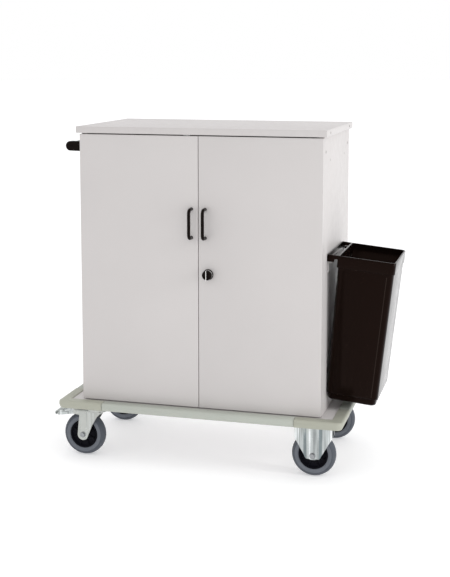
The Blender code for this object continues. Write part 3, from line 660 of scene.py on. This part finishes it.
def axle(tag, body, rise, f):
    """The bolt through both legs, with a washer under its head and a nut behind."""
    low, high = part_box(f"axle_{tag}")
    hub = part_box(f"hub_{tag}")
    centre = (low + high) / 2
    middle = (centre.x, (hub[0].y + hub[1].y) / 2, centre.z)
    reach = LEG_IN + rise + SHEET_T + 0.0003
    r, washer_r = 0.0060, 0.0102
    bm = turned([(0, -reach - 0.004), (r - 0.0008, -reach - 0.004), (r, -reach), (r, reach + 0.0085),
                 (r - 0.0010, reach + 0.0095), (0, reach + 0.0095)],
                "Y", (centre.x, centre.y - 0.0005, centre.z), 28)
    turned([(r, -reach - 0.0018), (washer_r - 0.0004, -reach - 0.0018), (washer_r, -reach - 0.0002),
            (r, -reach - 0.0002)], "Y", middle, 32, bm)
    hexagon("Y", middle, 0.0165, reach + 0.0002, reach + 0.0068, bm)
    hexagon("Y", middle, 0.0150, -reach - 0.0018, -reach - 0.0060, bm)
    piece(f"axle_{tag}_bolt", bm, body, f["bolt"], [f"axle_{tag}"])


def plate_bolts(tag, x, y, top, f):
    """The four bolts that hold a caster's top plate to the deck."""
    high, low, washer_r = top - 0.0002, top - 0.0016, 0.0085
    for i, (sx, sy) in enumerate(((-1, -1), (1, -1), (-1, 1), (1, 1))):
        spot = (x + sx * PLATE_BOLT_X, y + sy * PLATE_BOLT_Y, 0)
        bm = turned([(0, high), (washer_r, high), (washer_r, low), (0, low)], "Z", spot, 28)
        hexagon("Z", spot, 0.013, low, top - 0.0072, bm)
        piece(f"caster_bolt_{tag}_{i}", bm, "cart", f["zinc"])


def fixed_caster(tag, f):
    """A caster that doesn't swivel: its two pressed sides have a raised middle and turned-in edges."""
    node = f"caster_bracket_{tag}"
    low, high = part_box(node)
    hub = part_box(f"hub_{tag}")
    x, y = (low.x + high.x) / 2, (hub[0].y + hub[1].y) / 2
    top, plate_low = high.z, high.z - PLATE_T
    bm = prism(rounded(low.x, high.x, low.y, high.y, PLATE_ROUND), "Z", plate_low, top)
    wide, narrow, knee, foot = 0.0640, 0.0215, 0.1320, 0.0640
    outline = [(x - wide, plate_low + 0.001), (x - wide, knee + 0.004), (x - wide + 0.002, knee)]
    outline += [(x - narrow - 0.003, foot + 0.003), (x - narrow, foot), (x - 0.011, foot - 0.0006),
                (x - 0.007, foot - 0.0030), (x + 0.007, foot - 0.0030), (x + 0.011, foot - 0.0006),
                (x + narrow, foot), (x + narrow + 0.003, foot + 0.003)]
    outline += [(x + wide - 0.002, knee), (x + wide, knee + 0.004), (x + wide, plate_low + 0.001)]
    rib_out, rib_in, lip, lip_w = 0.0310, 0.0205, 0.0026, 0.006

    def fold(u):
        away = abs(u - x)
        raised = BRACKET_RISE * max(0.0, min(1.0, (rib_out - away) / (rib_out - rib_in)))
        edge = lip * max(0.0, (away - wide + lip_w) / lip_w)
        return raised - edge

    def tone(u):
        """Plain zinc, with painted shade (a darker copy) on the slopes and a painted highlight (a brighter
        copy) on the turned-in edges.
        """
        away = abs(u - x)
        if away > wide - lip_w:
            return 2
        return 1 if rib_in < away < rib_out else 0

    creases = [x + s * d for s in (-1, 1) for d in (rib_in, rib_out, wide - lip_w)] + [x]
    for sign in (-1, 1):
        pressed_leg(outline, sorted(creases), fold, tone, y + sign * LEG_IN, sign, bm)
    # the bracket's second finish is painted shade on the slopes, its third a painted highlight on the
    # turned-in edges
    piece(f"caster_{tag}_bracket", bm, "cart", [f["zinc"], f["painted_shade_zinc"], f["painted_highlight_zinc"]], [node],
          sharp=28, bevel=0.0006)
    wheel(tag, f"{tag}_wheel", f)
    axle(tag, "cart", BRACKET_RISE, f)
    plate_bolts(tag, x, y, plate_low, f)


def swivel_caster(tag, f):
    """A caster that swivels: a plate with the upper race, and a fork of two pressed legs below it."""
    place = tag.split("_")[1]
    body = f"{place}_fork"
    low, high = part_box(f"caster_plate_{tag}")
    x, y = (low.x + high.x) / 2, (low.y + high.y) / 2
    top, plate_low = high.z, high.z - PLATE_T
    bm = prism(rounded(low.x, high.x, low.y, high.y, PLATE_ROUND), "Z", plate_low, top)
    turned([(0, plate_low + 0.001), (0.0350, plate_low + 0.001), (0.0368, plate_low - 0.003),
            (0.0372, RACE_LOW + 0.0050), (0.0362, RACE_LOW + 0.0002), (0, RACE_LOW)], "Z", (x, y, 0), 56, bm)
    piece(f"caster_{tag}_plate", bm, "cart", f["zinc"], [f"caster_plate_{tag}"], bevel=0.0005)
    plate_bolts(tag, x, y, plate_low, f)

    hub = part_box(f"hub_{tag}")
    ax, az = (hub[0].x + hub[1].x) / 2, (hub[0].z + hub[1].z) / 2
    crown = turned([(0, CROWN_LOW), (0.0300, CROWN_LOW), (0.0372, CROWN_LOW + 0.0024),
                    (0.0392, CROWN_LOW + 0.0064), (0.0392, CROWN_TOP - 0.0034), (0.0378, CROWN_TOP - 0.0006),
                    (0.0340, CROWN_TOP), (0, CROWN_TOP)], "Z", (x, y, 0), 56)
    half = LEG_IN + SHEET_T
    bridge = rounded(x - 0.078, x + 0.028, y - half, y + half, 0.006, 4)
    prism(bridge, "Z", CROWN_LOW + 0.0004, CROWN_LOW + 0.0046, crown)
    crease, groove, groove_deep = ax + 0.0150, 0.0016, 0.0014
    splay = math.tan(math.radians(8.0))

    def fold(u):
        dip = groove_deep if abs(u - crease) < groove / 2 else 0.0
        return max(0.0, u - crease) * splay - dip

    # painted shade: the faces along the crease groove take the darker zinc copy
    def tone(u):
        return 1 if abs(u - crease) < groove else 0

    outline = arc(ax, az, 0.0195, 176, 346, 14)
    outline += [(ax + 0.0370, 0.1130), (ax + 0.0550, 0.1430), (ax + 0.0660, 0.1550), (x + 0.028, 0.1590),
                (x + 0.028, 0.1615), (x - 0.080, 0.1615), (x - 0.082, 0.1590), (x - 0.082, 0.1500),
                (x - 0.079, 0.1475), (x - 0.062, 0.1460), (x - 0.059, 0.1440)]
    creases = [crease - groove, crease, crease + groove]
    for sign in (-1, 1):
        pressed_leg(outline, creases, fold, tone, y + sign * LEG_IN, sign, crown)
    # the fork's second finish is painted shade along the crease
    piece(f"caster_{tag}_fork", crown, body, [f["fork"], f["painted_shade_zinc"]], [f"caster_fork_{tag}"],
          sharp=28, bevel=0.0006)
    wheel(tag, f"{tag}_wheel", f)
    axle(tag, body, 0.0, f)
    brake(tag, f"{place}_brake", y, f)


def brake(tag, body, y, f):
    """A pressed lever: a curled top plate on two cheeks, with tread ribs at its tip."""
    low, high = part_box(f"brake_pedal_{tag}")
    pivot_z, pivot_x = high.z - 0.0035, high.x - 0.0060
    tip = low.x
    half, plate, side = LEG_IN - 0.0010, 0.0024, 0.0016
    top_line = [(pivot_x + u, pivot_z + v) for u, v in ((0.0055, 0.0020), (0.0, 0.0034), (-0.018, 0.0026),
                                                        (-0.036, -0.0010), (-0.052, -0.0012))]
    top_line += [(tip + 0.018, pivot_z + 0.0004), *arc(tip + 0.0080, pivot_z - 0.0085, 0.0080, 75, 190, 6),
                 (tip + 0.0040, pivot_z - 0.0155)]
    lower = []
    for i, (u, v) in enumerate(top_line):
        a, b = top_line[max(i - 1, 0)], top_line[min(i + 1, len(top_line) - 1)]
        along = Vector((b[0] - a[0], b[1] - a[1])).normalized()
        lower.append((u - along.y * plate, v + along.x * plate))
    bm = prism(top_line + list(reversed(lower)), "Y", y - half, y + half)
    cheek = [(pivot_x + u, pivot_z + v) for u, v in ((0.005, 0.0015), (0.005, -0.0045), (-0.010, -0.0075),
                                                     (-0.036, -0.0110), (-0.052, -0.0140))]
    cheek += [(tip + u, pivot_z + v) for u, v in ((0.014, -0.0155), (0.006, -0.0120), (0.016, -0.0010))]
    cheek += [(pivot_x - 0.050, pivot_z - 0.0020), (pivot_x - 0.030, pivot_z - 0.0010)]
    for sign in (-1, 1):
        edge = y + sign * (half - side)
        prism(cheek, "Y", *sorted((edge, edge + sign * side)), bm=bm)
    pin_r, pin_end = 0.0030, half + 0.0036
    pin = [(0, -pin_end), (pin_r, -pin_end), (pin_r, pin_end), (0, pin_end)]
    turned(pin, "Y", (pivot_x, y, pivot_z), 20, bm)
    for i in range(4):
        u, v = tip + 0.0120 + 0.0060 * i, pivot_z - 0.0010
        rib = rounded(u - 0.0011, u + 0.0011, y - half + 0.005, y + half - 0.005, 0.0010, 3)
        prism(rib, "Z", v - 0.002, v + 0.0018, bm)
    piece(f"brake_{tag}_pedal", bm, body, f["zinc"], [f"brake_pedal_{tag}"], sharp=32, bevel=0.0004)


# --- bin -------------------------------------------------------------------------------------
def bin_outline(inset, near_r, far_r, proud, reach, width):
    """The bin's plan: small near corners, rounded far corners and a proud panel on both broad sides."""
    x0, x1 = BIN_HOOK_W + inset, reach - inset
    half = width / 2 - inset
    start, step, turns = BIN_PANEL_IN, BIN_PANEL_STEP, 7
    points = arc(x1 - far_r, half - far_r, far_r, 0, 90, turns)
    points += [(x1 - start, half), (x1 - start - step, half + proud), (x0 + start + step, half + proud),
               (x0 + start, half)]
    points += arc(x0 + near_r, half - near_r, near_r, 90, 180, turns)
    points += arc(x0 + near_r, near_r - half, near_r, 180, 270, turns)
    points += [(x0 + start, -half), (x0 + start + step, -half - proud), (x1 - start - step, -half - proud),
               (x1 - start, -half)]
    return points + arc(x1 - far_r, far_r - half, far_r, 270, 360, turns)


def hang_on_bin(f):
    """A tapered bin with a rim band, a stepped foot and a hook that hangs over the cabinet's rail."""
    low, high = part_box("bin")
    width = high.y - low.y
    reach = (high.x - BIN_HOOK_X) / math.cos(BIN_TILT)
    place = (Matrix.Translation((BIN_HOOK_X, (low.y + high.y) / 2, high.z))
             @ Matrix.Rotation(BIN_TILT, 4, "Y"))
    depth, panel = BIN_H, BIN_PANEL_PROUD
    # inset, depth below the rim, near and far corner radius, and how proud the panels are
    outer = [(0.0300, depth, 0.010, 0.012, 0.0), (0.0190, depth, 0.014, 0.016, 0.0),
             (0.0170, depth - 0.0012, 0.015, 0.017, 0.0), (0.0152, depth - 0.0040, 0.015, 0.017, 0.0),
             (0.0146, depth - 0.0100, 0.015, 0.017, 0.0), (0.0140, depth - 0.0200, 0.015, 0.017, 0.0),
             (0.0100, depth - 0.0222, 0.014, 0.016, 0.0), (0.0090, depth - 0.0245, 0.014, 0.016, 0.0),
             (0.0088, depth - 0.0300, 0.014, 0.016, panel), (0.0033, 0.0500, 0.010, 0.015, panel),
             (0.0031, 0.0440, 0.008, 0.015, 0.0), (0.0026, 0.0412, 0.006, 0.015, 0.0),
             (0.0006, 0.0402, 0.006, 0.015, 0.0), (0.0, 0.0390, 0.006, 0.015, 0.0),
             (0.0, 0.0024, 0.006, 0.015, 0.0), (0.0004, 0.0010, 0.006, 0.015, 0.0),
             (0.0012, 0.0002, 0.006, 0.0145, 0.0), (0.0020, 0.0, 0.006, 0.014, 0.0)]
    inner = [(0.0044, 0.0002, 0.006, 0.012), (0.0054, 0.0012, 0.006, 0.012), (0.0056, 0.0028, 0.006, 0.012),
             (0.0038, 0.0052, 0.006, 0.013), (0.0037, 0.0390, 0.006, 0.013),
             (0.0062, 0.0440, 0.007, 0.013), (0.0120, depth - 0.0240, 0.012, 0.014),
             (0.0152, depth - 0.0220, 0.013, 0.015), (0.0162, depth - 0.0060, 0.013, 0.015),
             (0.0210, depth - BIN_WALL, 0.012, 0.014), (0.0340, depth - BIN_WALL, 0.008, 0.010)]
    rows = outer + [(*row, 0.0) for row in inner]
    bm = loft([[(u, v, -down) for u, v in bin_outline(inset, near_r, far_r, proud, reach, width)]
               for inset, down, near_r, far_r, proud in rows])
    bm.normal_update()
    # the far step of each proud panel takes a little lighter copy of the plastic, a painted highlight
    for face in bm.faces:
        middle = face.calc_center_median()
        slanted = abs(face.normal.x) > 0.35 and abs(face.normal.y) > 0.35
        if slanted and 0.6 * reach < middle.x < reach - 0.0200 and -depth + 0.02 < middle.z < -0.045:
            face.material_index = 1
    absorb(bm, hook_shell(width / 2 - 0.0004))
    bmesh.ops.transform(bm, matrix=place, verts=bm.verts)
    piece("waste_bin_shell", bm, "waste_bin", [f["bin"], f["bin_highlight"]], ["bin"], sharp=30)
    NODES["bin_rail"].data.materials[0] = f["coated"]


def hook_shell(half):
    """The hook beside the bin: a raised outer edge, a sunk floor with the grip slot, and end walls."""
    lip, join, overlap = 0.0044, BIN_HOOK_W + 0.0030, 0.0002
    floor_top, floor_low, floor_half = -0.008, -0.008 - BIN_WALL, half - 0.004
    grip_half, grip_in, grip_out = 0.095, BIN_HOOK_W - 0.0175, BIN_HOOK_W - 0.0050
    bm = box((0.0, -half, -BIN_HOOK_DROP), (lip, half, 0.0))
    end = [(0.0, 0.0), (0.0, -BIN_HOOK_DROP), (0.0230, -BIN_HOOK_DROP), (0.0250, -0.0140), (join, -0.0130),
           (join, -0.0002)]
    for sign in (-1, 1):
        prism(end, "Y", *sorted((sign * half, sign * (half - 0.0045))), bm=bm)
    box((lip - overlap, -floor_half, floor_low), (grip_in, floor_half, floor_top), bm)
    box((grip_out, -floor_half, floor_low), (join, floor_half, floor_top), bm)
    for sign in (-1, 1):
        near, far = sorted((sign * floor_half, sign * grip_half))
        box((grip_in - overlap, near, floor_low), (grip_out + overlap, far, floor_top), bm)
    for i in (0, 1, 3, 4):
        v = -half + 0.045 + (2 * half - 0.090) * i / 4
        box((lip - overlap, v - 0.0009, floor_low - 0.004),
            (grip_in - 0.001, v + 0.0009, floor_low + overlap), bm)
    bmesh.ops.bevel(bm, geom=bm.edges[:], offset=0.0011, segments=2, profile=0.5, affect="EDGES",
                    clamp_overlap=True)
    return bm


# --- push handle -----------------------------------------------------------------------------
def push_handle(f):
    """The push bar with its fine ribs, between two end brackets on the left wall."""
    bar_low, bar_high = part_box("push_bar")
    x, z, r = (bar_low.x + bar_high.x) / 2, (bar_low.z + bar_high.z) / 2, (bar_high.z - bar_low.z) / 2
    nose = 0.0165
    below = [(0.0, 0.0210), (0.0030, 0.0208), (0.0055, 0.0196), (0.0085, 0.0182), (0.0150, 0.0172)]
    above = [(0.0150, 0.0166), (0.0085, 0.0172), (0.0055, 0.0190), (0.0030, 0.0206), (0.0, 0.0210)]
    outline = [(SIDE_LEFT - out, z - down) for out, down in below]
    outline += arc(x, z, nose, 270, 90, 15)
    outline += [(SIDE_LEFT - out, z + up) for out, up in above]
    for place, outer in (("front", -1), ("rear", 1)):
        low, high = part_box(f"push_bracket_{place}")
        middle, thick = (low.y + high.y) / 2, (high.y - low.y) / 2
        bm = prism(outline, "Y", middle - thick, middle + thick)
        plug = [(0, 0.0002), (0.0062, 0.0002), (0.0060, 0.0012), (0, 0.0016)]
        turned([(radius, outer * (thick + out)) for radius, out in plug], "Y", (x, middle, z), 28, bm)
        piece(f"push_end_{place}", bm, "cart", f["black"], [f"push_bracket_{place}"],
              sharp=40, bevel=0.0016, segments=3)
    start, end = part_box("push_bracket_front")[1].y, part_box("push_bracket_rear")[0].y
    seat, margin, groove, ribs = 0.006, 0.012, 0.0005, 40
    grip = [(0, start - seat), (r, start - seat), (r, start + 0.004)]
    step = (end - start - 2 * margin) / ribs
    for i in range(ribs):
        at = start + margin + step * i
        grip += [(r, at), (r, at + step * 0.62)]
        grip += [(r - groove, at + step * 0.72), (r - groove, at + step * 0.90)]
    grip += [(r, end - margin), (r, end + seat), (0, end + seat)]
    bar = turned(grip, "Y", (x, 0, z), 40)
    piece("push_bar_grip", bar, "cart", f["black"], ["push_bar"], sharp=50)


# --- stage, light and camera -----------------------------------------------------------------
def floor():
    """A white floor that glows a little, so that the cart's shadow stays as light as in a bright studio."""
    bm = bmesh.new()
    bmesh.ops.create_circle(bm, cap_ends=True, segments=64, radius=60.0)
    mesh = bpy.data.meshes.new("floor")
    bm.to_mesh(mesh)
    bm.free()
    made = bpy.data.objects.new("floor", mesh)
    bpy.context.scene.collection.objects.link(made)
    finish = Finish("floor_white", (0.80, 0.80, 0.80), 0.8, Specular_IOR_Level=0.1,
                    Emission_Color=(1.0, 1.0, 1.02, 1.0), Emission_Strength=0.34)
    mesh.materials.append(finish.material)


KEY_PLACE, KEY_TARGET = (3.6, -0.7, 1.5), (0.2, 0.0, 0.5)
KEY_SIZE, KEY_POWER = (0.22, 1.8), 32.0


def lights():
    """An even white surround, and one tall lamp to the right of the cart."""
    world = bpy.data.worlds.new("studio")
    world.use_nodes = True
    back = world.node_tree.nodes["Background"]
    back.inputs["Color"].default_value = (1.0, 1.0, 1.0, 1.0)
    back.inputs["Strength"].default_value = 1.0
    bpy.context.scene.world = world
    lamp = bpy.data.lights.new("key_right", "AREA")
    lamp.shape = "RECTANGLE"
    lamp.size, lamp.size_y = KEY_SIZE
    lamp.energy = KEY_POWER
    made = bpy.data.objects.new("key_right", lamp)
    made.location = KEY_PLACE
    made.rotation_euler = (Vector(KEY_TARGET) - Vector(KEY_PLACE)).to_track_quat("-Z", "Y").to_euler()
    bpy.context.scene.collection.objects.link(made)


CAMERA_PLACE = (1.0426, -3.9230, 1.3990)
CAMERA_YAW, CAMERA_PITCH = math.radians(15.3), math.radians(6.9)
CAMERA_LENS = 72.8
CAMERA_SHIFT = -0.16        # the view looks a little down on a cart whose uprights stay nearly parallel


def camera():
    made = bpy.data.objects.new("camera", bpy.data.cameras.new("camera"))
    made.data.lens = CAMERA_LENS
    made.data.shift_y = CAMERA_SHIFT
    made.location = CAMERA_PLACE
    made.rotation_euler = (math.pi / 2 - CAMERA_PITCH, 0.0, CAMERA_YAW)
    made.data.clip_end = 200.0
    bpy.context.scene.collection.objects.link(made)
    bpy.context.scene.camera = made
    bpy.context.scene.view_settings.view_transform = "Standard"


def build():
    finishes = make_finishes()
    cabinet(finishes)
    screw_caps(finishes)
    pulls(finishes)
    lock(finishes)
    hinges(finishes)
    door_bolt(finishes)
    platform(finishes)
    for place in ("front", "rear"):
        fixed_caster(f"right_{place}", finishes)
        swivel_caster(f"left_{place}", finishes)
    hang_on_bin(finishes)
    push_handle(finishes)
    floor()
    lights()
    camera()


build()
